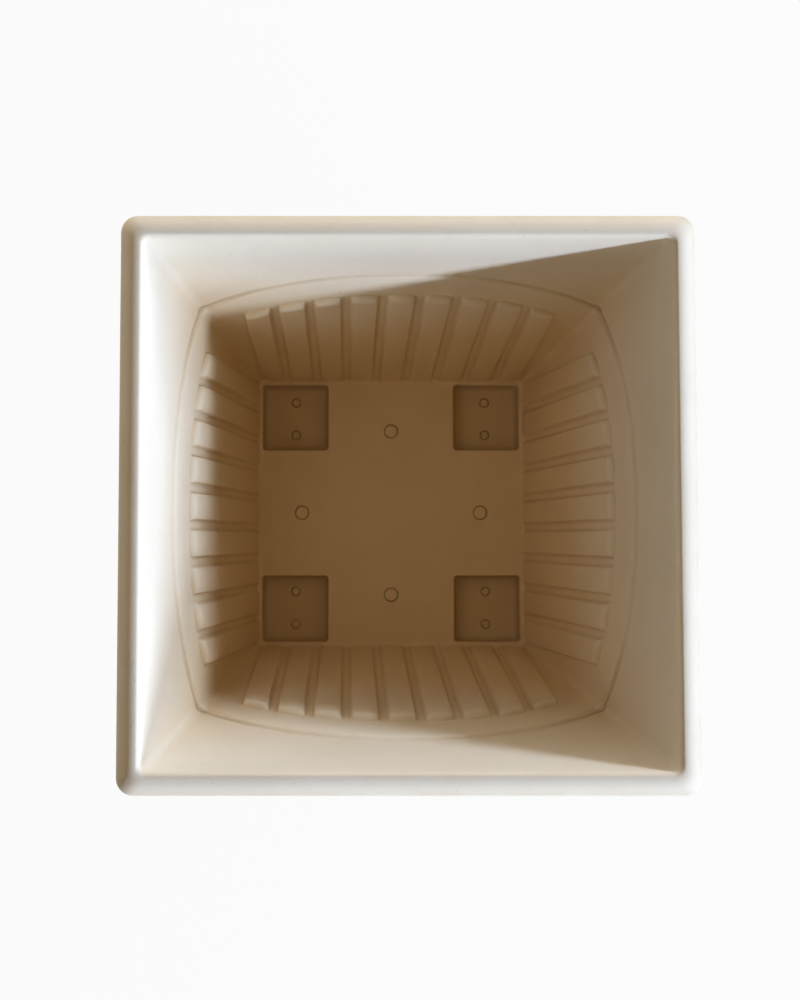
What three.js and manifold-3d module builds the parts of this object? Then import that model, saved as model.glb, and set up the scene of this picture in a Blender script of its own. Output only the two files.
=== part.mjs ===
// Square planter pot: a fluted, tapered moulding with a rolled lip that stands on four hollow feet.
// Four drain plugs sit flush in the floor, and two smaller ones in the hollow of each foot.
// Millimetres, +Z up. The origin is under the middle of the pot, on the ground that the feet stand on.
// +X is the right-hand wall, +Y is the back wall.

import * as THREE from "three";
import { mergeVertices } from "three/addons/utils/BufferGeometryUtils.js";
import Module from "manifold-3d";

const wasm = await Module();
wasm.setup();

// Overall form
const LIP_WIDTH = 300; // across the outside of the lip
const POT_HEIGHT = 278; // from the ground to the crest of the lip
const FLOOR_WIDTH = 193.5; // inside, across the floor
const WALL = 4; // walls, lip and feet
const FLOOR_THICKNESS = 4;
const WALL_CORNER = 4.5; // radius of the upright inside corners
const FLOOR_FILLET = 2; // slope where the walls meet the floor, inside and underneath

// Rolled lip: a hollow channel round the mouth, open below
const LIP_ROLL = 11.75; // from the crest out to the side of the lip, seen from above
const LIP_DROP = 14; // from the crest down to the foot of the roll
const LIP_SKIRT = 10; // straight edge that hangs below the roll
const LIP_INNER_ROLL = 2.6; // from the crest in to the wall, seen from above
const LIP_INNER_DROP = 5; // from the crest down to the top of the wall
const LIP_CORNER = 9; // corner radius of the outside of the lip
const CREST_CORNER = 5; // corner radius of the crest

// Arched band: below the arch the wall steps in
const ARCH_DEPTH = 54; // from the crest down to the top of the arch
const ARCH_SAG = 53; // from the top of the arch down to its ends
const ARCH_POWER = 2.35; // how square the shoulders of the arch are
const ARCH_STEP = 2; // how far the wall steps in
const ARCH_STEP_HEIGHT = 0.8;

// Flutes: upright channels in the outside of each wall that stand out as pads on the inside
const FLUTES = 9; // on each wall
const FLUTE_GAP = 25; // smooth strip between the arch and the flutes
const FLUTE_END = 5; // length of the rounded upper end
const FLUTE_RELIEF = 4; // depth at the upper end
const FLUTE_FLOOR_RELIEF = 1.2; // depth at the floor
const FLUTE_GROOVE = 4.6; // flat strip between two flutes, inside
const FLUTE_FLANK = 1.4; // width of each sloping side
const FLUTE_INSET = 2.7; // how much nearer the middle of a flute its sloping sides lie outside
const FLUTE_CROWN_FALL = 0.6; // how far the edges of the crown lie behind its middle

// Hollow feet
const POCKET_WIDTH = 48;
const POCKET_DEPTH = 11.5; // from the floor down into the foot
const POCKET_CORNER = 2.5;
const POCKET_MARGIN = 3.15; // from the pocket to the edge of the floor
const FOOT_SOLE = 4.5; // thickness under the pocket
const FOOT_EDGE = 1.2; // bevel round the sole

// Drain plugs in the floor
const DRAIN_X = 64.7; // from the middle to the left and right drains
const DRAIN_Y = 59.4; // from the middle to the front and back drains
const PLUG_HEAD = 9.4; // diameter
const PLUG_HEAD_HEIGHT = 2;
const PLUG_STEM = 6.6; // diameter
const PLUG_REACH = 1.5; // how far the stem shows below the floor

// Smaller plugs in the hollow feet
const FOOT_PLUG_SPACING = 24; // between the two plugs of a foot
const FOOT_PLUG_HEAD = 6; // diameter
const FOOT_PLUG_HEAD_HEIGHT = 1.6;
const FOOT_PLUG_STEM = 3.6; // diameter
const FOOT_PLUG_RECESS = 0.8; // from the ground up to the end of the stem

// What all the plugs share
const PLUG_EDGE = 0.3; // bevel round the top of the head
const PLUG_TIP_SHARE = 0.4; // share of the stem's length that narrows
const PLUG_TIP_WIDTH = 0.75; // width of the end, as a share of the stem's
const PLUG_HEAD_CLEARANCE = 0.45; // the fine ring that shows round each plug
const PLUG_STEM_CLEARANCE = 0.25;

// How finely round forms are divided
const CORNER_STEPS = 4;
const ROLL_STEPS = 4;
const INNER_ROLL_STEPS = 2;
const CHANNEL_STEPS = 3;
const FLUTE_END_STEPS = 2;
const PLUG_STEPS = 20;

// Small allowances of the modelling itself
const CUT_MARGIN = 1; // how far a cut runs past the face that it opens
const STATION_GAP = 0.6; // least distance between two points across a side
const LEAST_CORNER = 0.5; // sharpest corner of a moulded edge

// Heights and half widths that follow from the sizes above
const SIDES = 4;
const QUARTER_TURN = Math.PI / 2;
const UP = new THREE.Vector3(0, 0, 1);
const floorTop = FOOT_SOLE + POCKET_DEPTH;
const underside = floorTop - FLOOR_THICKNESS;
const wallTop = POT_HEIGHT - LIP_INNER_DROP;
const rollFoot = POT_HEIGHT - LIP_DROP;
const skirtFoot = rollFoot - LIP_SKIRT;
const lipHalf = LIP_WIDTH / 2;
const crestHalf = lipHalf - LIP_ROLL;
const wallTopHalf = crestHalf - LIP_INNER_ROLL;
const floorHalf = FLOOR_WIDTH / 2;
const wallSlope = (wallTopHalf - ARCH_STEP - floorHalf) / (wallTop - floorTop);
const flutePitch = FLOOR_WIDTH / FLUTES;
const pocketHalf = POCKET_WIDTH / 2;
const footPlace = floorHalf - POCKET_MARGIN - pocketHalf;

// Inside half width of the plain wall above the arch, carried on down to the floor.
function wallHalf(z) {
  return wallTopHalf - wallSlope * (wallTop - z);
}

// Height of the arch at a place along a side, level past the ends of the arch.
const archEnds = POT_HEIGHT - ARCH_DEPTH - ARCH_SAG;
const archSpan = wallHalf(archEnds) - WALL_CORNER;
function archHeight(along) {
  const share = Math.min(1, Math.abs(along) / archSpan);
  return POT_HEIGHT - ARCH_DEPTH - ARCH_SAG * share ** ARCH_POWER;
}

// Places across one side where the flutes change slope, each with its share of the full relief.
// inset draws the sloping sides of each flute towards its middle.
function makeFluteStations(inset) {
  const foot = (flutePitch - FLUTE_GROOVE) / 2 - inset;
  const crownEdge = foot - FLUTE_FLANK;
  const crownEdgeRelief = 1 - FLUTE_CROWN_FALL / FLUTE_RELIEF;
  const form = [
    { offset: -foot, relief: 0 },
    { offset: -crownEdge, relief: crownEdgeRelief },
    { offset: 0, relief: 1 },
    { offset: crownEdge, relief: crownEdgeRelief },
    { offset: foot, relief: 0 },
  ];
  const stations = [];
  for (let flute = 0; flute < FLUTES; flute += 1) {
    const middle = (flute - (FLUTES - 1) / 2) * flutePitch;
    for (const { offset, relief } of form) {
      stations.push({ along: middle + offset, relief });
    }
  }
  return stations;
}
const insideStations = makeFluteStations(0);
const outsideStations = makeFluteStations(FLUTE_INSET);

// Keeps a station inside the straight part of its side, in its order from the corner.
function keepOnSide(along, rank, straight) {
  const farthest = straight - STATION_GAP * (rank + 1);
  return Math.sign(along) * Math.min(Math.abs(along), farthest);
}

// One ring of points round the pot, anticlockwise from above, from the right-hand wall on.
// level gives the height at a place along a side, and half the half width at a height.
// A fluted ring has stations across each side, which stand in from its face by their share of relief.
// turn numbers each point by its side and its share of that side, so that two rings can be joined.
function makeRing({ level, half, corner, relief = 0, stations = [] }) {
  const cornerZ = level(Infinity);
  const cornerHalf = half(cornerZ);
  const straight = cornerHalf - corner;
  const outline = [{ x: cornerHalf, y: -straight, z: cornerZ, share: 0 }];
  stations.forEach((station, i) => {
    const rank = Math.min(i, stations.length - 1 - i);
    const y = keepOnSide(station.along, rank, straight);
    const z = level(y);
    const share = (i + 1) / (stations.length + 1) / 2;
    outline.push({ x: half(z) - relief * station.relief, y, z, share });
  });
  for (let step = 0; step < CORNER_STEPS; step += 1) {
    const angle = (QUARTER_TURN * step) / CORNER_STEPS;
    const x = straight + corner * Math.cos(angle);
    const y = straight + corner * Math.sin(angle);
    outline.push({ x, y, z: cornerZ, share: (1 + step / CORNER_STEPS) / 2 });
  }
  const ring = [];
  for (let side = 0; side < SIDES; side += 1) {
    for (const { x, y, z, share } of outline) {
      const point = new THREE.Vector3(x, y, z).applyAxisAngle(UP, side * QUARTER_TURN);
      ring.push({ point, turn: side + share });
    }
  }
  return ring;
}

// A level ring without flutes.
function makeLevelRing(z, width, corner) {
  return makeRing({ level: () => z, half: () => width, corner: Math.max(corner, LEAST_CORNER) });
}

// Rings of one face of the walls from its foot up to the top of the arched step.
// offset is 0 for the inside and the wall's thickness for the outside, so both faces carry the same form.
function makeWallRings(foot, offset, stations) {
  const corner = WALL_CORNER + offset;
  const aboveArch = (z) => wallHalf(z) + offset;
  const belowArch = (z) => aboveArch(z) - ARCH_STEP;
  const fluteTop = (along) => archHeight(along) - ARCH_STEP_HEIGHT - FLUTE_GAP;
  const filletTop = foot + FLOOR_FILLET;
  const rows = [
    { level: () => foot, half: () => belowArch(filletTop) - FLOOR_FILLET, relief: FLUTE_FLOOR_RELIEF },
    { level: () => filletTop, half: belowArch, relief: FLUTE_FLOOR_RELIEF },
  ];
  for (let step = FLUTE_END_STEPS; step >= 0; step -= 1) {
    const angle = (QUARTER_TURN * step) / FLUTE_END_STEPS;
    const drop = FLUTE_END * (1 - Math.cos(angle));
    const relief = FLUTE_RELIEF * Math.sin(angle);
    rows.push({ level: (along) => fluteTop(along) - drop, half: belowArch, relief });
  }
  rows.push({ level: (along) => archHeight(along) - ARCH_STEP_HEIGHT, half: belowArch });
  rows.push({ level: archHeight, half: aboveArch });
  return rows.map((row) => makeRing({ ...row, corner, stations }));
}

// Rings of the lip from the outside of the wall, through the channel and over the roll, to the inside.
function makeLipRings() {
  const channelCorner = LIP_CORNER - WALL;
  const rings = [makeLevelRing(wallTop, wallTopHalf + WALL, WALL_CORNER + WALL)];
  for (let step = CHANNEL_STEPS - 1; step >= 0; step -= 1) {
    const angle = (QUARTER_TURN * step) / CHANNEL_STEPS;
    const z = rollFoot + (LIP_DROP - WALL) * Math.sin(angle);
    const half = crestHalf + (LIP_ROLL - WALL) * Math.cos(angle);
    rings.push(makeLevelRing(z, half, channelCorner));
  }
  rings.push(makeLevelRing(skirtFoot, lipHalf - WALL, channelCorner));
  rings.push(makeLevelRing(skirtFoot, lipHalf, LIP_CORNER));
  for (let step = 0; step <= ROLL_STEPS; step += 1) {
    const angle = (QUARTER_TURN * step) / ROLL_STEPS;
    const z = rollFoot + LIP_DROP * Math.sin(angle);
    const half = crestHalf + LIP_ROLL * Math.cos(angle);
    const corner = CREST_CORNER + (LIP_CORNER - CREST_CORNER) * Math.cos(angle);
    rings.push(makeLevelRing(z, half, corner));
  }
  for (let step = 1; step <= INNER_ROLL_STEPS; step += 1) {
    const angle = (QUARTER_TURN * step) / INNER_ROLL_STEPS;
    const z = wallTop + LIP_INNER_DROP * Math.cos(angle);
    const half = crestHalf - LIP_INNER_ROLL * Math.sin(angle);
    const corner = WALL_CORNER + (CREST_CORNER - WALL_CORNER) * Math.cos(angle);
    rings.push(makeLevelRing(z, half, corner));
  }
  return rings;
}

// Triangles between two rings, which may have different numbers of points: the ring that lags goes on.
function joinRings(lower, upper, lowerStart, upperStart) {
  const triangles = [];
  const turnAt = (ring, i) => ring[i % ring.length].turn + SIDES * Math.floor(i / ring.length);
  const nextMiddle = (ring, i) => {
    return i < ring.length ? (turnAt(ring, i) + turnAt(ring, i + 1)) / 2 : Infinity;
  };
  let i = 0;
  let j = 0;
  while (i < lower.length || j < upper.length) {
    const low = lowerStart + (i % lower.length);
    const high = upperStart + (j % upper.length);
    if (nextMiddle(lower, i) <= nextMiddle(upper, j)) {
      i += 1;
      triangles.push(low, lowerStart + (i % lower.length), high);
    } else {
      j += 1;
      triangles.push(low, upperStart + (j % upper.length), high);
    }
  }
  return triangles;
}

// Closed solid through a chain of rings, with a flat cap at each end.
function loftRings(rings) {
  const points = [];
  const triangles = [];
  const starts = rings.map((ring) => points.push(...ring.map(({ point }) => point)) - ring.length);
  for (let n = 1; n < rings.length; n += 1) {
    triangles.push(...joinRings(rings[n - 1], rings[n], starts[n - 1], starts[n]));
  }
  const first = rings[0];
  const last = rings[rings.length - 1];
  const bottom = points.push(new THREE.Vector3(0, 0, first[0].point.z)) - 1;
  const top = points.push(new THREE.Vector3(0, 0, last[0].point.z)) - 1;
  first.forEach((_, i) => triangles.push(bottom, (i + 1) % first.length, i));
  const lastStart = starts[starts.length - 1];
  last.forEach((_, i) => triangles.push(lastStart + i, lastStart + ((i + 1) % last.length), top));
  return new THREE.BufferGeometry().setFromPoints(points).setIndex(triangles);
}

// Conversions between a geometry and a solid that can be joined and cut.
function toSolid(geometry) {
  const bare = geometry.clone();
  bare.deleteAttribute("normal");
  bare.deleteAttribute("uv");
  const merged = mergeVertices(bare);
  const vertProperties = Float32Array.from(merged.attributes.position.array);
  const triVerts = Uint32Array.from(merged.index.array);
  return new wasm.Manifold(new wasm.Mesh({ numProp: 3, vertProperties, triVerts }));
}

function toGeometry(solid) {
  const { vertProperties, triVerts } = solid.getMesh();
  const geometry = new THREE.BufferGeometry();
  geometry.setAttribute("position", new THREE.BufferAttribute(vertProperties, 3));
  geometry.setIndex(new THREE.BufferAttribute(triVerts, 1));
  geometry.computeVertexNormals();
  return geometry;
}

// Upright round bar for drilling, centred at x, y between two heights.
function makeBar(diameter, bottom, top, x, y) {
  const bar = new THREE.CylinderGeometry(diameter / 2, diameter / 2, top - bottom, PLUG_STEPS);
  return bar.rotateX(QUARTER_TURN).translate(x, y, (top + bottom) / 2);
}

// A foot below the floor, still without its hollow, with a bevel round its sole.
function makeFoot({ x, y }) {
  const half = pocketHalf + WALL;
  const corner = POCKET_CORNER + WALL;
  const rings = [
    makeLevelRing(0, half - FOOT_EDGE, corner - FOOT_EDGE),
    makeLevelRing(FOOT_EDGE, half, corner),
    makeLevelRing(underside + FLOOR_THICKNESS / 2, half, corner),
  ];
  return loftRings(rings).translate(x, y, 0);
}

// The hollow of a foot, which opens through the floor.
function makePocket({ x, y }) {
  const rings = [
    makeLevelRing(FOOT_SOLE, pocketHalf, POCKET_CORNER),
    makeLevelRing(floorTop + CUT_MARGIN, pocketHalf, POCKET_CORNER),
  ];
  return loftRings(rings).translate(x, y, 0);
}

// The two kinds of plug. top is the face that the head lies flush with, and wall what the stem passes.
const floorPlug = {
  head: PLUG_HEAD,
  headHeight: PLUG_HEAD_HEIGHT,
  stem: PLUG_STEM,
  length: FLOOR_THICKNESS + PLUG_REACH,
  top: floorTop,
  wall: FLOOR_THICKNESS,
};
const footPlug = {
  head: FOOT_PLUG_HEAD,
  headHeight: FOOT_PLUG_HEAD_HEIGHT,
  stem: FOOT_PLUG_STEM,
  length: FOOT_SOLE - FOOT_PLUG_RECESS,
  top: FOOT_SOLE,
  wall: FOOT_SOLE,
};

// Places of the feet and the plugs. The outer plug of a foot is the one farther from the middle.
const feet = [
  { name: "front_left", x: -footPlace, y: -footPlace },
  { name: "front_right", x: footPlace, y: -footPlace },
  { name: "back_left", x: -footPlace, y: footPlace },
  { name: "back_right", x: footPlace, y: footPlace },
];
const plugs = [
  { name: "drain_plug_right", kind: floorPlug, x: DRAIN_X, y: 0 },
  { name: "drain_plug_back", kind: floorPlug, x: 0, y: DRAIN_Y },
  { name: "drain_plug_left", kind: floorPlug, x: -DRAIN_X, y: 0 },
  { name: "drain_plug_front", kind: floorPlug, x: 0, y: -DRAIN_Y },
];
for (const { name, x, y } of feet) {
  const shift = (Math.sign(y) * FOOT_PLUG_SPACING) / 2;
  plugs.push({ name: `foot_plug_${name}_outer`, kind: footPlug, x, y: y + shift });
  plugs.push({ name: `foot_plug_${name}_inner`, kind: footPlug, x, y: y - shift });
}

// The moulding: fluted shell, hollow feet, and for each plug a seat for the head and a bore for the stem.
function makePotBody() {
  const outside = makeWallRings(underside, WALL, outsideStations);
  const inside = makeWallRings(floorTop, 0, insideStations).reverse();
  let body = toSolid(loftRings([...outside, ...makeLipRings(), ...inside]));
  for (const foot of feet) {
    body = body.add(toSolid(makeFoot(foot)));
  }
  for (const foot of feet) {
    body = body.subtract(toSolid(makePocket(foot)));
  }
  for (const { kind, x, y } of plugs) {
    const seat = kind.head + 2 * PLUG_HEAD_CLEARANCE;
    const bore = kind.stem + 2 * PLUG_STEM_CLEARANCE;
    const seatCut = makeBar(seat, kind.top - kind.headHeight, kind.top + CUT_MARGIN, x, y);
    const boreCut = makeBar(bore, kind.top - kind.wall - CUT_MARGIN, kind.top, x, y);
    body = body.subtract(toSolid(seatCut)).subtract(toSolid(boreCut));
  }
  return toGeometry(body);
}

// A plug turned from its profile, from the end of the stem up to the face of the head.
function makePlug({ head, headHeight, stem, length }) {
  const tip = (length - headHeight) * PLUG_TIP_SHARE;
  const profile = [
    new THREE.Vector2(0, -length),
    new THREE.Vector2((stem * PLUG_TIP_WIDTH) / 2, -length),
    new THREE.Vector2(stem / 2, tip - length),
    new THREE.Vector2(stem / 2, -headHeight),
    new THREE.Vector2(head / 2, -headHeight),
    new THREE.Vector2(head / 2, -PLUG_EDGE),
    new THREE.Vector2(head / 2 - PLUG_EDGE, 0),
    new THREE.Vector2(0, 0),
  ];
  return new THREE.LatheGeometry(profile, PLUG_STEPS).rotateX(QUARTER_TURN);
}

// Materials
const creamPlastic = new THREE.MeshStandardMaterial({ color: 0xd9cdb0, roughness: 0.7, metalness: 0 });
const plugPlastic = new THREE.MeshStandardMaterial({ color: 0xcdbf9d, roughness: 0.65, metalness: 0 });

// Assembly
const planterPot = new THREE.Group();

function addPiece(name, geometry, material, x, y, z) {
  const piece = new THREE.Mesh(geometry, material);
  piece.name = name;
  piece.position.set(x, y, z);
  planterPot.add(piece);
}

addPiece("pot_body", makePotBody(), creamPlastic, 0, 0, 0);
for (const { name, kind, x, y } of plugs) {
  addPiece(name, makePlug(kind), plugPlastic, x, y, kind.top);
}

export default planterPot;
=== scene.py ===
"""Looks of a square planter pot: a fluted cream moulding with a rolled lip, hollow feet and drain plugs.

Sizes of the pot are in millimetres, as a maker gives them. Meshes are in metres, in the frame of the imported
part: +Z up, +X to the right-hand wall, +Y to the back wall, the origin under the middle on the ground.
"""

import math

import bpy
import numpy as np
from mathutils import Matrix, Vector


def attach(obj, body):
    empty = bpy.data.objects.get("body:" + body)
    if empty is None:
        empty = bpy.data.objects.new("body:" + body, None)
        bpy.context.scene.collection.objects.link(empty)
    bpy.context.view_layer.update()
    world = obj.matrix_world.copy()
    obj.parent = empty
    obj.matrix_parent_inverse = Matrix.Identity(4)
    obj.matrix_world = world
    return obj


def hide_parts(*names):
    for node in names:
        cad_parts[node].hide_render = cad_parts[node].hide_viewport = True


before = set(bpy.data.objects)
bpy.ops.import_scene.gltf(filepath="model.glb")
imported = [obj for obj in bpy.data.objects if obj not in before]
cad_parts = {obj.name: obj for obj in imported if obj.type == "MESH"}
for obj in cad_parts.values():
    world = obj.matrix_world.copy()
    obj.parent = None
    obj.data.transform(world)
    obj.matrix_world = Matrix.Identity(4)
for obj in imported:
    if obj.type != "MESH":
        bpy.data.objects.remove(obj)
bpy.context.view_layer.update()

MM = 0.001
QUARTER = math.pi / 2
SIDES = 4

# Overall form
LIP_WIDTH = 300.0  # across the outside of the lip
POT_HEIGHT = 278.0  # from the ground to the crest of the lip
FLOOR_WIDTH = 193.5  # inside, across the floor
WALL = 4.0
FLOOR_THICKNESS = 4.0
WALL_CORNER = 4.5  # radius of the upright inside corners
FLOOR_FILLET = 2.0  # radius where the walls meet the floor

# Rolled lip, hollow below
LIP_ROLL = 11.75  # from the crest out to the side of the lip
LIP_DROP = 14.0  # from the crest down to the foot of the roll
LIP_SKIRT = 10.0  # straight edge below the roll
LIP_INNER_ROLL = 2.6  # from the crest in to the wall
LIP_INNER_DROP = 5.0  # from the crest down to the top of the wall
LIP_CORNER = 9.0
LIP_EDGE = 1.0  # radius of the lower edges of the skirt
CREST_CORNER = 5.0

# Arched band
ARCH_DEPTH = 54.0  # from the crest down to the top of the arch
ARCH_SAG = 53.0  # from the top of the arch down to its ends
ARCH_POWER = 2.35  # how square the shoulders of the arch are
ARCH_STEP = 2.0  # how far the wall steps in below the arch
ARCH_STEP_HEIGHT = 1.6

# Flutes
FLUTES = 9  # on each wall
FLUTE_GAP = 25.0  # smooth strip between the arch and the flutes
FLUTE_END = 5.0  # length of the rounded upper end
FLUTE_END_ROUND = 2.5  # how far the upper corners of a flute are rounded down
FLUTE_END_POWER = 3  # how near its corners the end of a flute starts to round down
FLUTE_RELIEF = 4.0  # depth at the upper end
FLUTE_FLOOR_RELIEF = 1.2  # depth at the floor
FLUTE_GROOVE = 4.6  # flat strip between two flutes, inside
FLUTE_FLANK = 1.4  # width of each sloping side
FLUTE_INSET = 2.7  # how much nearer the middle of a flute its sloping sides lie outside
FLUTE_CROWN_FALL = 0.6  # how far the edges of the crown lie behind its middle
FLUTE_MARGIN = 1.5  # least plain strip between the last flute and the corner

# Hollow feet
POCKET_WIDTH = 48.0
POCKET_DEPTH = 11.5
POCKET_CORNER = 2.5
POCKET_MARGIN = 3.15  # from the pocket to the edge of the floor
POCKET_FILLET = 1.0  # radius round the floor of the pocket
FOOT_SOLE = 4.5  # thickness under the pocket
FOOT_EDGE = 1.2  # radius round the sole
RIM_BEVEL = 0.4  # round the pockets

# Plugs
DRAIN_X = 64.7  # from the middle of the floor to the left and right plugs
DRAIN_Y = 59.4  # from the middle of the floor to the front and back plugs
PLUG_HEAD = 9.4
PLUG_HEAD_HEIGHT = 2.0
PLUG_STEM = 6.6
PLUG_REACH = 1.5  # from the underside of the floor down to the end
FOOT_PLUG_SPACING = 24.0
FOOT_PLUG_HEAD = 6.0
FOOT_PLUG_HEAD_HEIGHT = 1.6
FOOT_PLUG_STEM = 3.6
FOOT_PLUG_RECESS = 0.8  # from the sole up to the end
PLUG_EDGE = 1.0  # radius round the face
PLUG_FACE = 0.96  # width of the ring just inside the rounded edge, as a share of the flat face
PLUG_TIP_SHARE = 0.4  # share of the stem that narrows
PLUG_TIP_WIDTH = 0.75  # width of the end, as a share of the stem's
PLUG_HEAD_CLEARANCE = 0.45
PLUG_STEM_CLEARANCE = 0.25
HOLE_BEVEL = 0.2

# How finely the surfaces are divided
CROWN_STEPS = 2
FLANK_STEPS = 4
MARGIN_STEPS = 4
CORNER_STEPS = 7
FLUTE_ROWS = 13
FLUTE_END_ROWS = 7
GAP_ROWS = 3
STEP_ROWS = 6
BAND_ROWS = 6
FILLET_ROWS = 5
ROLL_ROWS = 11
INNER_ROLL_ROWS = 6
CHANNEL_ROWS = 6
EDGE_ROWS = 4
RING_STEPS = 56
PLACE_DECIMALS = 6  # places that agree this far are one
SOFT_EDGE_ANGLE = math.radians(40)
CUT_MARGIN = 1.0  # how far a cut runs past the face that it opens
FLAT_INSET = 2.0  # from the fluted edge of a flat face in to its plain ring

# Colours and tints
WHITE = (1.0, 1.0, 1.0, 1.0)
CREAM_LIGHT = (0.92, 0.862, 0.745, 1.0)
CREAM_DARK = (0.89, 0.83, 0.705, 1.0)
# pale cream of the painted highlights on the nose of the arch, the ends of the flutes and the fillet
PAINTED_HIGHLIGHT_CREAM = (0.93, 0.83, 0.655, 1.0)
# dark browns of the plug holes: painted shade in the gaps round the plugs
HOLE_SHADE_LIGHT = (0.50, 0.35, 0.20, 1.0)
HOLE_SHADE_DARK = (0.42, 0.28, 0.15, 1.0)
SPECK = (0.38, 0.27, 0.16, 1.0)
# brown tint of the painted shade that darkens the inside down to the floor
PAINTED_DEEP_SHADE = (0.95, 0.77, 0.53, 1.0)
# painted shade in the hollow feet
PAINTED_HOLLOW_SHADE = (0.83, 0.81, 0.76, 1.0)
# tint of the weathering and of the painted shade on the outside
WEATHER_AND_SHADE_TINT = (0.762, 0.740, 0.684, 1.0)
# tint of the painted shade in the crease of the arch, the grooves and round the feet
PAINTED_CREVICE_SHADE = (0.55, 0.46, 0.38, 1.0)

# Unevenness of the moulding: patches to a metre, fineness, and the range of the noise that counts
MOTTLE = (26.0, 4.0, 0.35, 0.65)
BLOTCHES = (70.0, 6.0, 0.35, 0.65)
SPECKS = (620.0, 3.0, 0.72, 0.80)
GRAIN = (620.0, 3.0, 0.2, 0.8)
SWELL = (70.0, 3.0, 0.2, 0.8)
GRAIN_HEIGHT = 0.25
GRAIN_STRENGTH = 0.2
SWELL_HEIGHT = 0.6
SWELL_STRENGTH = 0.25
LEAST_ROUGHNESS = 0.58
MOST_ROUGHNESS = 0.74
GLOSS = 0.3

# Where the inside gets painted shade and painted highlights
DEEP_TOP = 256.0  # height at which the painted shade of the inside starts
DEEP_FOOT = 116.0  # height from which down the painted shade is at its darkest
# strength of the painted highlights on the nose of the arch, the ends of the flutes and the fillet
NOSE_HIGHLIGHT = 0.9
NOSE_REACH = 1.2
END_HIGHLIGHT = 0.9
FILLET_HIGHLIGHT = 0.35
# painted shade in the crease above the arch, darkest at the corners, in the grooves and round the feet
CREASE_SHADE = 0.12  # in the middle of a side
CORNER_SHADE = 0.85
CREASE_SHARE = 0.65  # share of the way to the corner from which on the painted shade grows
CREASE_RISE = 1.0  # height of the middle of the painted shade over the arch
CREASE_REACH = 2.2
GROOVE_SHADE = 0.22
GROOVE_REACH = 1.8
FOOT_SHADE = 0.6
FOOT_REACH = 4.0

# How the outside is weathered in blotches, darkened as painted shade and left pale on the crest as a painted
# highlight
WEATHER_FALL = 5.0  # depth below the crest from which down the weathering and painted shade are full
WEATHER_LEAST = 0.82  # share of the weathering in the palest places

# Floor under the pot, in metres
FLOOR_REACH = 6.0
FLOOR_DROP = 0.0002  # below the soles
FLOOR_GREY = (0.45, 0.447, 0.435, 1.0)
FLOOR_GLOW = 0.95  # share of white away from the pot
GLOW_START = 0.10  # distance from the middle up to which the floor is plain grey: its real shadow and a painted shadow
GLOW_FULL = 0.18
GLOW_POWER = 4.0  # how square the plain patch is

# Room
ROOM_LIGHT = (0.15, 0.095, 0.035, 1.0)
ROOM_PALE = (0.963, 0.963, 0.963, 1.0)

# Two long lamps to the right, in one level line, and weak ones on the other sides, in metres and watts
WINDOW_OUT = 1.5
WINDOW_RISE = 0.42  # height of the line above the mouth, as a share of its distance
WINDOW_LENGTH = 2.0
WINDOWS = {
    "window_front": (-1.8, 0.10, 72.5, (0.65, 0.775, 1.0)),
    "window_back": (1.2, 0.24, 36.0, (0.68, 0.80, 1.0)),
}  # place along the line, depth, power and colour
WEAK_LENGTH = 1.4
WEAK_DEPTH = 0.3
WEAK_BACK_DEPTH = 0.7
WEAK_LAMPS = {
    "weak_left": ((-1.25, 1.15, 0.2), WEAK_DEPTH, 9.8, (1.0, 0.91, 0.80)),
    "weak_front": ((0.4, -1.6, 0.3), WEAK_DEPTH, 12.0, (0.86, 0.91, 0.98)),
    "weak_back": ((0.3, 1.6, 0.55), WEAK_BACK_DEPTH, 10.0, (0.99, 0.875, 0.70)),
}  # place, depth, power and colour

# Camera above the mouth: place in metres, lens and sensor in millimetres
CAMERA_PLACE = (-0.0309, -0.0183, 0.8783)
CAMERA_TURN = (math.radians(2.835), 0.0, 0.0)
CAMERA_LENS = 42.64
CAMERA_SENSOR = 36.0
CAMERA_SHIFT = (0.0514, -0.0207)

# Heights and half widths that follow
floor_top = FOOT_SOLE + POCKET_DEPTH
underside = floor_top - FLOOR_THICKNESS
wall_top = POT_HEIGHT - LIP_INNER_DROP
roll_foot = POT_HEIGHT - LIP_DROP
skirt_foot = roll_foot - LIP_SKIRT
lip_half = LIP_WIDTH / 2
crest_half = lip_half - LIP_ROLL
wall_top_half = crest_half - LIP_INNER_ROLL
floor_half = FLOOR_WIDTH / 2
wall_slope = (wall_top_half - ARCH_STEP - floor_half) / (wall_top - floor_top)
flute_pitch = FLOOR_WIDTH / FLUTES
pocket_half = POCKET_WIDTH / 2
foot_place = floor_half - POCKET_MARGIN - pocket_half


def plain_half(height):
    """Inside half width of the wall above the arch: a straight line in the height."""
    return wall_top_half - wall_slope * (wall_top - height)


def smooth_step(share):
    """Eases from 0 to 1 with level ends: three times the square less twice the cube."""
    share = np.clip(share, 0, 1)
    return share * share * (3 - 2 * share)


# Columns of one side: places along the wall from corner to corner, then round the corner
def flute_edges(inset):
    """Distance from the middle of a flute to the foot of its flank and to the edge of its crown."""
    foot = (flute_pitch - FLUTE_GROOVE) / 2 - inset
    return foot, foot - FLUTE_FLANK


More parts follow.
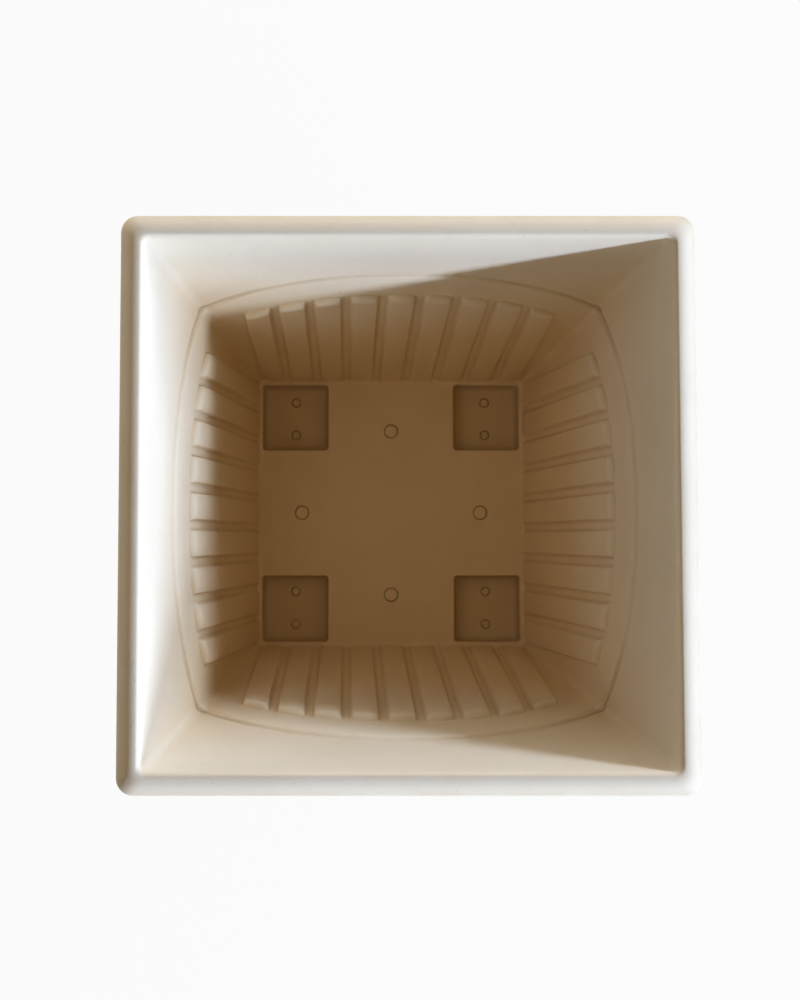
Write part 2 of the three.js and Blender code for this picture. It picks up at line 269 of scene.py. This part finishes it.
def side_places():
    """Nominal places across one side, in mm from its middle, close together on the flanks of the flutes.

    Past the flutes the places go on from floor_half to floor_half + 1, which later spreads to the
    corner.
    """
    inside_foot, inside_edge = flute_edges(0.0)
    outside_foot, outside_edge = flute_edges(FLUTE_INSET)
    crown = np.linspace(0, outside_edge, CROWN_STEPS, endpoint=False)
    outside_flank = np.linspace(outside_edge, outside_foot, FLANK_STEPS)
    inside_flank = np.linspace(inside_edge, inside_foot, FLANK_STEPS)
    half = np.concatenate([crown, outside_flank, inside_flank, [flute_pitch / 2]])
    one = np.concatenate([-half[:0:-1], half])
    middles = (np.arange(FLUTES) - (FLUTES - 1) / 2) * flute_pitch
    flutes = np.unique(np.round(middles[:, None] + one[None, :], PLACE_DECIMALS))
    margin = floor_half + np.linspace(0, 1, MARGIN_STEPS + 1)[1:]
    return np.concatenate([-margin[::-1], flutes, margin])


def flute_offset(place):
    """Distance of a place from the middle of its flute, repeated over all the flutes."""
    return np.abs(np.mod(place + floor_half, flute_pitch) - flute_pitch / 2)


def flute_shape(place, inset):
    """Share of the full relief across the flutes.

    The crown falls off with the square of the distance from its middle, and the flanks ease down to the
    groove.
    """
    foot, edge = flute_edges(inset)
    offset = flute_offset(place)
    crown = 1 - FLUTE_CROWN_FALL / FLUTE_RELIEF * (np.minimum(offset, edge) / edge) ** 2
    share = crown * smooth_step((foot - offset) / FLUTE_FLANK)
    return np.where(np.abs(place) < floor_half, share, 0)


def along_side(place, straight):
    """Real places along a side whose straight part ends at straight.

    They are true to size up to the last flute, squeezed from there if the side is short, and spread evenly
    from the flutes to the corner.
    """
    size = np.abs(place)
    last = floor_half - flute_pitch / 2
    end = np.minimum(floor_half, straight - FLUTE_MARGIN)
    squeezed = last + (size - last) * (end - last) / (floor_half - last)
    spread_out = end + (size - floor_half) * (straight - end)
    real = np.where(size <= last, size, np.where(size <= floor_half, squeezed, spread_out))
    return np.sign(place) * real


places = side_places()
corner_turn = np.linspace(0, QUARTER, CORNER_STEPS + 1)[1:-1]
plain_corner = np.zeros_like(corner_turn)
inside_share = np.concatenate([flute_shape(places, 0.0), plain_corner])
outside_share = np.concatenate([flute_shape(places, FLUTE_INSET), plain_corner])
arch_ends = POT_HEIGHT - ARCH_DEPTH - ARCH_SAG
arch_span = plain_half(arch_ends) - WALL_CORNER
arch_share = np.minimum(np.abs(along_side(places, arch_span)) / arch_span, 1)
arch_share = np.concatenate([arch_share, np.ones_like(corner_turn)])
arch_top = POT_HEIGHT - ARCH_DEPTH - ARCH_SAG * arch_share**ARCH_POWER
arch_foot = arch_top - ARCH_STEP_HEIGHT
end_offset = np.minimum(flute_offset(places) / flute_edges(0.0)[0], 1)
end_drop = np.concatenate([FLUTE_END_ROUND * end_offset**FLUTE_END_POWER, plain_corner])
flute_top = arch_foot - FLUTE_GAP - end_drop


def rings_round_pot(height, half, corner, relief):
    """Rings round the pot, one for each row: height, half and relief are rows by columns of one side.

    On the straight part a point stands at the half width less its relief; round the corner it runs on a
    quarter circle of the corner radius. The side is turned three times by a quarter to close the ring.
    """
    columns = len(places)
    straight = half[:, -1:] - corner
    x_side = half[:, :columns] - relief[:, :columns]
    y_side = along_side(places[None, :], straight)
    x_corner = straight + corner * np.cos(corner_turn)
    y_corner = straight + corner * np.sin(corner_turn)
    x = np.concatenate([x_side, x_corner], axis=1)
    y = np.concatenate([y_side, y_corner], axis=1)
    turned = []
    for _ in range(SIDES):
        turned.append(np.stack([x, y, height], axis=2))
        x, y = -y, x
    return np.concatenate(turned, axis=1)


def level_rows(height, half):
    """Rows that lie level, from one height and one half width each, as rows by columns."""
    wide = np.ones((1, len(arch_top)))
    return np.asarray(height)[:, None] * wide, np.asarray(half)[:, None] * wide


def wall_face(foot, offset, share):
    """Rows of one face of the walls from its fillet up to its top: height, half width and relief.

    The flutes deepen in a straight line with the height and end in a quarter ellipse. Then come the
    plain strip, the arched step, which moves out with the square of its height and so has a rounded nose,
    and the band. The offset is 0 inside and the wall's thickness outside, and the share is that of the
    relief across the flutes.
    """
    low = np.full_like(arch_top, foot + FLOOR_FILLET)
    run = np.linspace(0, 1, FLUTE_ROWS, endpoint=False)[:, None]
    turn = np.linspace(0, QUARTER, FLUTE_END_ROWS, endpoint=False)[:, None]
    gap = np.linspace(0, 1, GAP_ROWS, endpoint=False)[:, None]
    rise = np.linspace(0, 1, STEP_ROWS)[:, None]
    band = np.linspace(0, 1, BAND_ROWS + 1)[1:, None]
    height = np.concatenate(
        [
            low + (flute_top - FLUTE_END - low) * run,
            flute_top - FLUTE_END * (1 - np.sin(turn)),
            flute_top + (arch_foot - flute_top) * gap,
            arch_foot + ARCH_STEP_HEIGHT * rise,
            arch_top + (wall_top - arch_top) * band,
        ]
    )
    deepening = FLUTE_FLOOR_RELIEF + (FLUTE_RELIEF - FLUTE_FLOOR_RELIEF) * run
    ending = FLUTE_RELIEF * np.cos(turn)
    relief = np.concatenate([deepening, ending, 0 * gap, 0 * rise, 0 * band])
    stepped = np.concatenate([0 * run, 0 * turn, 0 * gap, rise**2, 0 * band + 1])
    half = plain_half(height) + offset - ARCH_STEP * (1 - stepped)
    return height, half, relief * share


def pot_rings():
    """All rings of the moulding in one chain: floor, inside, lip, channel, outside, underside.

    Just inside the fluted edge of the floor and of the underside runs a plain ring.
    """
    height_rows = []
    half_rows = []
    corner_rows = []
    relief_rows = []

    def add(height, half, corner, relief=0.0):
        height_rows.append(height)
        half_rows.append(half)
        corner_rows.append(np.broadcast_to(corner, (len(height), 1)))
        relief_rows.append(np.broadcast_to(relief, height.shape))

    # Hollow fillet from the floor to the walls
    fillet_half = plain_half(floor_top + FLOOR_FILLET) - ARCH_STEP
    turn = np.linspace(0, QUARTER, FILLET_ROWS, endpoint=False)
    rise = floor_top + FLOOR_FILLET * (1 - np.cos(turn))
    height, half = level_rows(rise, fillet_half - FLOOR_FILLET * (1 - np.sin(turn)))
    add(height, half, WALL_CORNER, FLUTE_FLOOR_RELIEF * inside_share)

    # Inside of the walls
    height, half, relief = wall_face(floor_top, 0.0, inside_share)
    add(height, half, WALL_CORNER, relief)

    # Inner roll, crest and outer roll
    turn = np.linspace(QUARTER, 0, INNER_ROLL_ROWS, endpoint=False)[1:]
    height, half = level_rows(
        wall_top + LIP_INNER_DROP * np.cos(turn), crest_half - LIP_INNER_ROLL * np.sin(turn)
    )
    add(height, half, (WALL_CORNER + (CREST_CORNER - WALL_CORNER) * np.cos(turn))[:, None])
    turn = np.linspace(QUARTER, 0, ROLL_ROWS)
    height, half = level_rows(
        roll_foot + LIP_DROP * np.sin(turn), crest_half + LIP_ROLL * np.cos(turn)
    )
    add(height, half, (CREST_CORNER + (LIP_CORNER - CREST_CORNER) * np.cos(turn))[:, None])

    # Skirt with two rounded lower edges
    turn = np.linspace(0, QUARTER, EDGE_ROWS)
    drop = skirt_foot + LIP_EDGE * (1 - np.sin(turn))
    inset = LIP_EDGE * (1 - np.cos(turn))
    height, half = level_rows(drop, lip_half - inset)
    add(height, half, (LIP_CORNER - inset)[:, None])
    height, half = level_rows(drop[::-1], lip_half - WALL + inset[::-1])
    add(height, half, (LIP_CORNER - WALL + inset[::-1])[:, None])

    # Channel under the lip
    turn = np.linspace(0, QUARTER, CHANNEL_ROWS, endpoint=False)
    height, half = level_rows(
        roll_foot + (LIP_DROP - WALL) * np.sin(turn), crest_half + (LIP_ROLL - WALL) * np.cos(turn)
    )
    add(height, half, LIP_CORNER - WALL)

    # Outside of the walls, from the top down
    height, half, relief = wall_face(underside, WALL, outside_share)
    add(height[::-1], half[::-1], WALL_CORNER + WALL, relief[::-1])

    # Rounded edge of the underside
    foot_half = plain_half(underside + FLOOR_FILLET) - ARCH_STEP + WALL
    turn = np.linspace(0, QUARTER, FILLET_ROWS)[1:]
    fall = underside + FLOOR_FILLET * (1 - np.sin(turn))
    height, half = level_rows(fall, foot_half - FLOOR_FILLET * (1 - np.cos(turn)))
    add(height, half, WALL_CORNER + WALL, FLUTE_FLOOR_RELIEF * outside_share)

    height = np.concatenate(height_rows)
    half = np.concatenate(half_rows)
    corner = np.concatenate(corner_rows)
    rings = rings_round_pot(height, half, corner, np.concatenate(relief_rows))
    ends = [0, -1]
    flat = np.zeros_like(height[ends])
    plain = rings_round_pot(height[ends], half[ends] - FLAT_INSET, corner[ends] - FLAT_INSET, flat)
    return np.concatenate([plain[:1], rings, plain[1:]])


def square_rings(rows, x, y):
    """Rings of a round-cornered square about x, y: rows holds half width, corner radius and height."""
    half, corner, height = np.array(rows).T[:, :, None]
    turn = np.linspace(0, QUARTER, CORNER_STEPS + 1)
    turn = (np.arange(SIDES)[:, None] * QUARTER + turn[None, :]).ravel()
    side = np.repeat(np.arange(SIDES) * QUARTER + QUARTER / 2, CORNER_STEPS + 1)
    ring_x = x + (half - corner) * np.sign(np.cos(side)) + corner * np.cos(turn)
    ring_y = y + (half - corner) * np.sign(np.sin(side)) + corner * np.sin(turn)
    return np.stack([ring_x, ring_y, height + 0 * turn], axis=2)


def round_rings(rows, x, y):
    """Circles about x, y: rows holds radius and height."""
    radius, height = np.array(rows).T[:, :, None]
    turn = np.linspace(0, SIDES * QUARTER, RING_STEPS, endpoint=False)
    return np.stack([x + radius * np.cos(turn), y + radius * np.sin(turn), height + 0 * turn], axis=2)


def add_object(name, data):
    """A new object in the scene, at the origin, for a mesh, a lamp or a camera."""
    made = bpy.data.objects.new(name, data)
    bpy.context.scene.collection.objects.link(made)
    return made


def loft(name, chains, paint):
    """A closed mesh object through one or more chains of rings.

    It has four-sided faces between neighbouring rings, and a flat face over the first and the last ring
    of each chain. The first ring of a chain faces up. Paint is the number of the material, one for all
    faces or one for the faces that start at each ring.
    """
    points = []
    faces = []
    numbers = []
    start = 0
    for rings in chains:
        count, around = rings.shape[:2]
        index = start + np.arange(count * around).reshape(count, around)
        following = np.roll(index, -1, axis=1)
        quads = np.stack([index[:-1], index[1:], following[1:], following[:-1]], axis=2)
        faces += quads.reshape(-1, 4).tolist()
        faces += [index[0].tolist(), index[-1, ::-1].tolist()]
        ring_paint = np.broadcast_to(paint, count)
        numbers += [np.repeat(ring_paint[:-1], around), ring_paint[[0, -1]]]
        points.append(rings.reshape(-1, 3))
        start += count * around
    mesh = bpy.data.meshes.new(name)
    mesh.from_pydata(np.concatenate(points) * MM, [], faces)
    mesh.polygons.foreach_set("material_index", np.concatenate(numbers).astype(np.int32))
    return add_object(name, mesh)


def finish_mesh(piece, materials):
    """Smooth faces with crisp edges where they fold by more than SOFT_EDGE_ANGLE, in their materials."""
    piece.data.shade_smooth()
    piece.data.set_sharp_from_angle(angle=SOFT_EDGE_ANGLE)
    for material in materials:
        piece.data.materials.append(material)


def cut_and_join(piece, steps):
    """Joins other solids to a piece or cuts them out of it, in turn, and removes them."""
    for operation, other in steps:
        change = piece.modifiers.new(operation, "BOOLEAN")
        change.operation = operation
        change.solver = "EXACT"
        change.object = other
    depsgraph = bpy.context.evaluated_depsgraph_get()
    made = bpy.data.meshes.new_from_object(piece.evaluated_get(depsgraph))
    piece.modifiers.clear()
    piece.data = made
    for _, other in steps:
        bpy.data.objects.remove(other)


# Places of the feet and the plugs
feet = {
    "front_left": (-foot_place, -foot_place),
    "front_right": (foot_place, -foot_place),
    "back_left": (-foot_place, foot_place),
    "back_right": (foot_place, foot_place),
}
floor_plug = {
    "head": PLUG_HEAD,
    "head_height": PLUG_HEAD_HEIGHT,
    "stem": PLUG_STEM,
    "length": FLOOR_THICKNESS + PLUG_REACH,
    "top": floor_top,
    "wall": FLOOR_THICKNESS,
}
foot_plug = {
    "head": FOOT_PLUG_HEAD,
    "head_height": FOOT_PLUG_HEAD_HEIGHT,
    "stem": FOOT_PLUG_STEM,
    "length": FOOT_SOLE - FOOT_PLUG_RECESS,
    "top": FOOT_SOLE,
    "wall": FOOT_SOLE,
}
plugs = {
    "right": ("drain_plug_right", floor_plug, DRAIN_X, 0.0),
    "back": ("drain_plug_back", floor_plug, 0.0, DRAIN_Y),
    "left": ("drain_plug_left", floor_plug, -DRAIN_X, 0.0),
    "front": ("drain_plug_front", floor_plug, 0.0, -DRAIN_Y),
}
for foot_name, (foot_x, foot_y) in feet.items():
    shift = math.copysign(FOOT_PLUG_SPACING / 2, foot_y)
    for place_name, plug_y in (("outer", foot_y + shift), ("inner", foot_y - shift)):
        key = f"{foot_name}_{place_name}"
        plugs[key] = (f"foot_plug_{key}", foot_plug, foot_x, plug_y)


def foot_rings(x, y):
    """A foot from inside the floor down to its sole, whose edge is a quarter circle."""
    half = pocket_half + WALL
    corner = POCKET_CORNER + WALL
    rows = [(half, corner, underside + FLOOR_THICKNESS / 2)]
    for turn in np.linspace(0, QUARTER, EDGE_ROWS):
        inset = FOOT_EDGE * (1 - math.cos(turn))
        rows.append((half - inset, corner - inset, FOOT_EDGE * (1 - math.sin(turn))))
    return square_rings(rows, x, y)


def pocket_rings(x, y):
    """The hollow of a foot from above the floor down: bevelled rim, upright walls, filleted floor."""
    rows = []
    for height in (floor_top + CUT_MARGIN, floor_top - RIM_BEVEL):
        flare = height - floor_top + RIM_BEVEL
        rows.append((pocket_half + flare, POCKET_CORNER + flare, height))
    for turn in np.linspace(0, QUARTER, EDGE_ROWS):
        inset = POCKET_FILLET * (1 - math.cos(turn))
        height = FOOT_SOLE + POCKET_FILLET * (1 - math.sin(turn))
        rows.append((pocket_half - inset, POCKET_CORNER - inset, height))
    return square_rings(rows, x, y)


def hole_rings(kind, x, y):
    """The hole of a plug from above its face down: bevelled rim, seat for the head, bore for the stem."""
    seat = kind["head"] / 2 + PLUG_HEAD_CLEARANCE
    bore = kind["stem"] / 2 + PLUG_STEM_CLEARANCE
    top = kind["top"]
    rows = [
        (seat + HOLE_BEVEL + CUT_MARGIN, top + CUT_MARGIN),
        (seat, top - HOLE_BEVEL),
        (seat, top - kind["head_height"]),
        (bore, top - kind["head_height"]),
        (bore, top - kind["wall"] - CUT_MARGIN),
    ]
    return round_rings(rows, x, y)


def plug_rings(kind, x, y):
    """A plug from its face down: rounded head, stem, narrowed end."""
    head = kind["head"] / 2
    stem = kind["stem"] / 2
    top = kind["top"]
    end = top - kind["length"]
    tip = (kind["length"] - kind["head_height"]) * PLUG_TIP_SHARE
    rows = [((head - PLUG_EDGE) * PLUG_FACE, top)]
    for turn in np.linspace(QUARTER, 0, EDGE_ROWS):
        rows.append((head - PLUG_EDGE * (1 - math.cos(turn)), top - PLUG_EDGE * (1 - math.sin(turn))))
    rows += [
        (head, top - kind["head_height"]),
        (stem, top - kind["head_height"]),
        (stem, end + tip),
        (stem * PLUG_TIP_WIDTH, end),
    ]
    return round_rings(rows, x, y)


# Building blocks of the materials
def empty_tree(owner):
    """The nodes of a material or a world, with none in them yet."""
    owner.use_nodes = True
    owner.node_tree.nodes.clear()
    return owner.node_tree


def set_input(tree, socket, value):
    """Gives an input a value, or the output that feeds it."""
    if isinstance(value, bpy.types.NodeSocket):
        tree.links.new(value, socket)
    else:
        socket.default_value = value


def add_node(tree, kind, inputs=None, **settings):
    """Adds a node with its settings; an input is given as a value or as the output that feeds it."""
    made = tree.nodes.new(kind)
    for key, value in settings.items():
        setattr(made, key, value)
    for key, value in (inputs or {}).items():
        set_input(tree, made.inputs[key], value)
    return made


def spread(tree, value, low, high, first=0.0, last=1.0):
    """First where the value is low, last where it is high, evenly between and level beyond."""
    ends = {"From Min": low, "From Max": high, "To Min": first, "To Max": last}
    return add_node(tree, "ShaderNodeMapRange", {"Value": value, **ends}).outputs["Result"]


def maths(tree, operation, first, second=0.0):
    """Result of one operation on two numbers, or on the first alone."""
    return add_node(tree, "ShaderNodeMath", {0: first, 1: second}, operation=operation).outputs[0]


def product(tree, first, *others):
    """The product of several shares."""
    for other in others:
        first = maths(tree, "MULTIPLY", first, other)
    return first


def largest(tree, first, *others):
    """The largest of several shares."""
    for other in others:
        first = maths(tree, "MAXIMUM", first, other)
    return first


def distance(tree, value, middle):
    """Distance of a value from the middle, which is in mm."""
    return maths(tree, "ABSOLUTE", maths(tree, "SUBTRACT", value, middle * MM))


def line_share(tree, value, middle, reach):
    """1 where the value is at the middle, falling evenly to 0 at the reach from it, both in mm."""
    return spread(tree, distance(tree, value, middle), reach * MM, 0.0)


def add_noise(tree, place, scale, detail, low, high):
    """Noise stretched so that low becomes 0 and high becomes 1."""
    noise = add_node(tree, "ShaderNodeTexNoise", {"Vector": place, "Scale": scale, "Detail": detail})
    return spread(tree, noise.outputs["Fac"], low, high)


def mix_colour(tree, share, first, second, blend="MIX"):
    """Colour between first and second by share, or with MULTIPLY the first, tinted by the second."""
    mix = add_node(tree, "ShaderNodeMix", {"Factor": share}, data_type="RGBA", blend_type=blend)
    first_input, second_input = [socket for socket in mix.inputs if socket.type == "RGBA"]
    set_input(tree, first_input, first)
    set_input(tree, second_input, second)
    return next(socket for socket in mix.outputs if socket.type == "RGBA")


def mix_shaders(tree, share, first, second):
    """The first of two shaders where the share is 0, and the second where it is 1."""
    return add_node(tree, "ShaderNodeMixShader", {0: share, 1: first.outputs[0], 2: second.outputs[0]})


def seen_directly(tree):
    """1 for what the camera sees, directly or in a mirror or glass, and 0 for light on the object."""
    path = add_node(tree, "ShaderNodeLightPath").outputs
    return largest(tree, path["Is Camera Ray"], path["Is Glossy Ray"], path["Is Transmission Ray"])


# Cream of the pot and its plugs
def inside_places(tree, x, y, height):
    """Where a point lies on the inside.

    The results are the way from the middle of its side and its share of the way to the corner, the height
    above the arch, the distance from the middle of the groove and from that of the foot. The arch falls
    with a power of that share, as the wall is built, and each flute brings one more groove.
    """
    x_size = maths(tree, "ABSOLUTE", x)
    y_size = maths(tree, "ABSOLUTE", y)
    along = maths(tree, "MINIMUM", x_size, y_size)
    share = maths(tree, "MINIMUM", maths(tree, "DIVIDE", along, arch_span * MM), 1.0)
    sag = maths(tree, "MULTIPLY", maths(tree, "POWER", share, ARCH_POWER), ARCH_SAG * MM)
    above = maths(tree, "SUBTRACT", maths(tree, "ADD", height, sag), (POT_HEIGHT - ARCH_DEPTH) * MM)
    from_groove = distance(tree, maths(tree, "MODULO", along, flute_pitch * MM), flute_pitch / 2)
    from_foot = largest(tree, distance(tree, x_size, foot_place), distance(tree, y_size, foot_place))
    return along, share, above, from_groove, from_foot


def inside_colour(tree, place, cream):
    """The cream as it shows inside.

    It gets painted shade: a brown tint down to the floor and again down the hollow feet, and dark lines in
    the crease of the arch, the grooves and round the feet. Pale lines on the nose of the arch, the ends of
    the flutes and the fillet are painted highlights.
    """
    x, y, height = add_node(tree, "ShaderNodeSeparateXYZ", {0: place}).outputs
    along, share, above, from_groove, from_foot = inside_places(tree, x, y, height)
    end_middle = -ARCH_STEP_HEIGHT - FLUTE_GAP - FLUTE_END / 2
    on_flutes = maths(tree, "LESS_THAN", along, floor_half * MM)
    on_crown = spread(
        tree, from_groove, FLUTE_GROOVE / 2 * MM, (FLUTE_GROOVE / 2 + FLUTE_FLANK) * MM
    )
    below_ends = spread(tree, above, (end_middle + FLUTE_END / 2) * MM, end_middle * MM)
    off_floor = spread(tree, height, floor_top * MM, (floor_top + FLOOR_FILLET) * MM)
    depth = spread(tree, height, DEEP_TOP * MM, DEEP_FOOT * MM)
    hollow = spread(tree, height, floor_top * MM, FOOT_SOLE * MM)

    # painted highlights: pale lines on the nose of the arch, the ends of the flutes and the fillet
    nose_line = line_share(tree, above, -ARCH_STEP_HEIGHT / 2, NOSE_REACH)
    end_line = line_share(tree, above, end_middle, FLUTE_END / 2)
    fillet_line = line_share(tree, height, floor_top + FLOOR_FILLET / 2, FLOOR_FILLET / 2)
    painted_highlight = largest(
        tree,
        product(tree, nose_line, NOSE_HIGHLIGHT),
        product(tree, end_line, END_HIGHLIGHT, on_crown, on_flutes),
        product(tree, fillet_line, FILLET_HIGHLIGHT),
    )

    # painted shade: dark lines in the crease above the arch, the grooves and round the feet
    crease_line = line_share(tree, above, CREASE_RISE, CREASE_REACH)
    crease_shade_share = spread(tree, share, CREASE_SHARE, 1.0, CREASE_SHADE, CORNER_SHADE)
    groove_line = line_share(tree, from_groove, FLUTE_GROOVE / 2, GROOVE_REACH)
    foot_edge = spread(tree, from_foot, (pocket_half - FOOT_REACH) * MM, pocket_half * MM)
    crevice_shade = largest(
        tree,
        product(tree, crease_line, crease_shade_share),
        product(tree, groove_line, GROOVE_SHADE, on_flutes, below_ends, off_floor),
        product(tree, foot_edge, FOOT_SHADE, hollow),
    )

    # painted shade: browner down to the floor
    deep_shaded = mix_colour(tree, depth, cream, PAINTED_DEEP_SHADE, "MULTIPLY")
    # painted shade in the hollow feet
    hollow_shaded = mix_colour(tree, hollow, deep_shaded, PAINTED_HOLLOW_SHADE, "MULTIPLY")
    # painted highlights
    highlighted = mix_colour(tree, painted_highlight, hollow_shaded, PAINTED_HIGHLIGHT_CREAM)
    # painted shade in the crease, the grooves and round the feet
    return mix_colour(tree, crevice_shade, highlighted, PAINTED_CREVICE_SHADE, "MULTIPLY")


def outside_colour(tree, place, cream):
    """The cream outside: weather blotches and painted shade, with a pale crest as a painted highlight."""
    height = add_node(tree, "ShaderNodeSeparateXYZ", {0: place}).outputs["Z"]
    below_crest = spread(tree, height, POT_HEIGHT * MM, (POT_HEIGHT - WEATHER_FALL) * MM)
    uneven = spread(tree, add_noise(tree, place, *BLOTCHES), 0.0, 1.0, WEATHER_LEAST, 1.0)
    # painted shade below the crest and weather blotches; the pale crest is a painted highlight
    weather_and_shade = product(tree, below_crest, uneven)
    return mix_colour(tree, weather_and_shade, cream, WEATHER_AND_SHADE_TINT, "MULTIPLY")


def moulded_cream(name, light, dark, local_colour=None):
    """Matt moulding: soft mottling between two creams, fine brown specks, a dull uneven surface.

    Where it is given, local_colour changes the cream from place to place.
    """
    material = bpy.data.materials.new(name)
    tree = empty_tree(material)
    place = add_node(tree, "ShaderNodeTexCoord").outputs["Object"]
    grain = add_noise(tree, place, *GRAIN)
    cream = mix_colour(tree, add_noise(tree, place, *MOTTLE), light, dark)
    if local_colour:
        cream = local_colour(tree, place, cream)
    swell_bump = add_node(
        tree,
        "ShaderNodeBump",
        {
            "Height": add_noise(tree, place, *SWELL),
            "Strength": SWELL_STRENGTH,
            "Distance": SWELL_HEIGHT * MM,
        },
    )
    grain_bump = add_node(
        tree,
        "ShaderNodeBump",
        {
            "Height": grain,
            "Strength": GRAIN_STRENGTH,
            "Distance": GRAIN_HEIGHT * MM,
            "Normal": swell_bump.outputs["Normal"],
        },
    )
    surface = add_node(
        tree,
        "ShaderNodeBsdfPrincipled",
        {
            "Base Color": mix_colour(tree, add_noise(tree, place, *SPECKS), cream, SPECK),
            "Roughness": spread(tree, grain, 0.0, 1.0, LEAST_ROUGHNESS, MOST_ROUGHNESS),
            "Specular IOR Level": GLOSS,
            "Normal": grain_bump.outputs["Normal"],
        },
    )
    add_node(tree, "ShaderNodeOutputMaterial", {"Surface": surface.outputs["BSDF"]})
    return material


INSIDE, OUTSIDE, SHADED_HOLES = range(3)
creams = [
    moulded_cream("cream_inside", CREAM_LIGHT, CREAM_DARK, inside_colour),
    moulded_cream("cream_outside", CREAM_LIGHT, CREAM_DARK, outside_colour),
    # the plug holes, painted dark brown as painted shade in the gaps round the plugs
    moulded_cream("hole_painted_shade", HOLE_SHADE_LIGHT, HOLE_SHADE_DARK),
]

# The moulding
rings_of_pot = pot_rings()
crest_ring = rings_of_pot[:, 0, 2].argmax()
paint_of_rings = np.where(np.arange(len(rings_of_pot)) < crest_ring, INSIDE, OUTSIDE)
holes = [hole_rings(kind, x, y) for _, kind, x, y in plugs.values()]
pot = loft("pot_moulding", [rings_of_pot], paint_of_rings)
cut_and_join(
    pot,
    [
        ("UNION", loft("feet", [foot_rings(x, y) for x, y in feet.values()], OUTSIDE)),
        ("DIFFERENCE", loft("pockets", [pocket_rings(x, y) for x, y in feet.values()], INSIDE)),
        ("DIFFERENCE", loft("holes", holes, SHADED_HOLES)),
    ],
)
finish_mesh(pot, creams)
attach(pot, "pot")
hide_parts("pot_body")

# The plugs
for plug_name, (node_name, plug_kind, plug_x, plug_y) in plugs.items():
    plug = loft(f"plug_{plug_name}", [plug_rings(plug_kind, plug_x, plug_y)], INSIDE)
    finish_mesh(plug, [creams[INSIDE]])
    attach(plug, f"plug_{plug_name}")
    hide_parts(node_name)


def floor_paint():
    """Matt grey that glows white where it is seen, but not under the pot, and is clear from below.

    The plain patch under the pot is a square with round corners: x and y are each raised to GLOW_POWER and
    added, and the same root of that is the distance from the middle. The grey there shows the real shadow of
    the pot, and is also a painted shadow, as it stays grey round the base where the lamps light it.
    """
    material = bpy.data.materials.new("floor_paint")
    tree = empty_tree(material)
    place = add_node(tree, "ShaderNodeTexCoord").outputs["Object"]
    x, y, _ = add_node(tree, "ShaderNodeSeparateXYZ", {0: place}).outputs
    powers = [maths(tree, "POWER", maths(tree, "ABSOLUTE", way), GLOW_POWER) for way in (x, y)]
    from_middle = maths(tree, "POWER", maths(tree, "ADD", *powers), 1 / GLOW_POWER)
    # no glow under and round the pot, where the grey floor shows its real shadow and a painted shadow
    glow_past_shadow_patch = spread(tree, from_middle, GLOW_START, GLOW_FULL, 0.0, FLOOR_GLOW)
    matt = add_node(tree, "ShaderNodeBsdfDiffuse", {"Color": FLOOR_GREY})
    glow = add_node(tree, "ShaderNodeEmission", {"Color": WHITE})
    upper_face = mix_shaders(tree, product(tree, seen_directly(tree), glow_past_shadow_patch), matt, glow)
    clear = add_node(tree, "ShaderNodeBsdfTransparent")
    from_below = add_node(tree, "ShaderNodeNewGeometry").outputs["Backfacing"]
    both_faces = mix_shaders(tree, from_below, upper_face, clear)
    add_node(tree, "ShaderNodeOutputMaterial", {"Surface": both_faces.outputs[0]})
    return material


# Floor just under the soles
ground_corners = np.array([[-1, -1, 0], [1, -1, 0], [1, 1, 0], [-1, 1, 0]]) * FLOOR_REACH
ground_corners[:, 2] = -FLOOR_DROP
ground = bpy.data.meshes.new("ground")
ground.from_pydata(ground_corners, [], [(0, 1, 2, 3)])
ground.materials.append(floor_paint())
floor = add_object("floor", ground)

# Dim warm light from the room, which is as pale as the floor where it is seen
world = bpy.data.worlds.new("room")
bpy.context.scene.world = world
room = empty_tree(world)
dim = add_node(room, "ShaderNodeBackground", {"Color": ROOM_LIGHT})
pale = add_node(room, "ShaderNodeBackground", {"Color": ROOM_PALE})
room_surface = mix_shaders(room, seen_directly(room), dim, pale)
add_node(room, "ShaderNodeOutputWorld", {"Surface": room_surface.outputs[0]})


def add_lamp(name, place, aim, length, depth, power, colour):
    """A flat lamp that faces its aim, with its length level."""
    lamp_data = bpy.data.lights.new(name, "AREA")
    lamp_data.shape = "RECTANGLE"
    lamp_data.size = length
    lamp_data.size_y = depth
    lamp_data.energy = power
    lamp_data.color = colour
    lamp = add_object(name, lamp_data)
    lamp.location = place
    lamp.rotation_euler = (Vector(aim) - Vector(place)).to_track_quat("-Z", "Y").to_euler()


# The lamps
mouth = POT_HEIGHT * MM
for lamp_name, (window_y, *window_light) in WINDOWS.items():
    window_place = (WINDOW_OUT, window_y, mouth + WINDOW_OUT * WINDOW_RISE)
    add_lamp(lamp_name, window_place, (0.0, window_y, mouth), WINDOW_LENGTH, *window_light)
for lamp_name, (weak_place, *weak_light) in WEAK_LAMPS.items():
    add_lamp(lamp_name, weak_place, (0.0, 0.0, weak_place[2]), WEAK_LENGTH, *weak_light)

# The camera
camera_data = bpy.data.cameras.new("camera")
camera_data.lens = CAMERA_LENS
camera_data.sensor_width = CAMERA_SENSOR
camera_data.shift_x, camera_data.shift_y = CAMERA_SHIFT
camera = add_object("camera", camera_data)
camera.location = CAMERA_PLACE
camera.rotation_euler = CAMERA_TURN
bpy.context.scene.camera = camera
bpy.context.scene.view_settings.view_transform = "Standard"
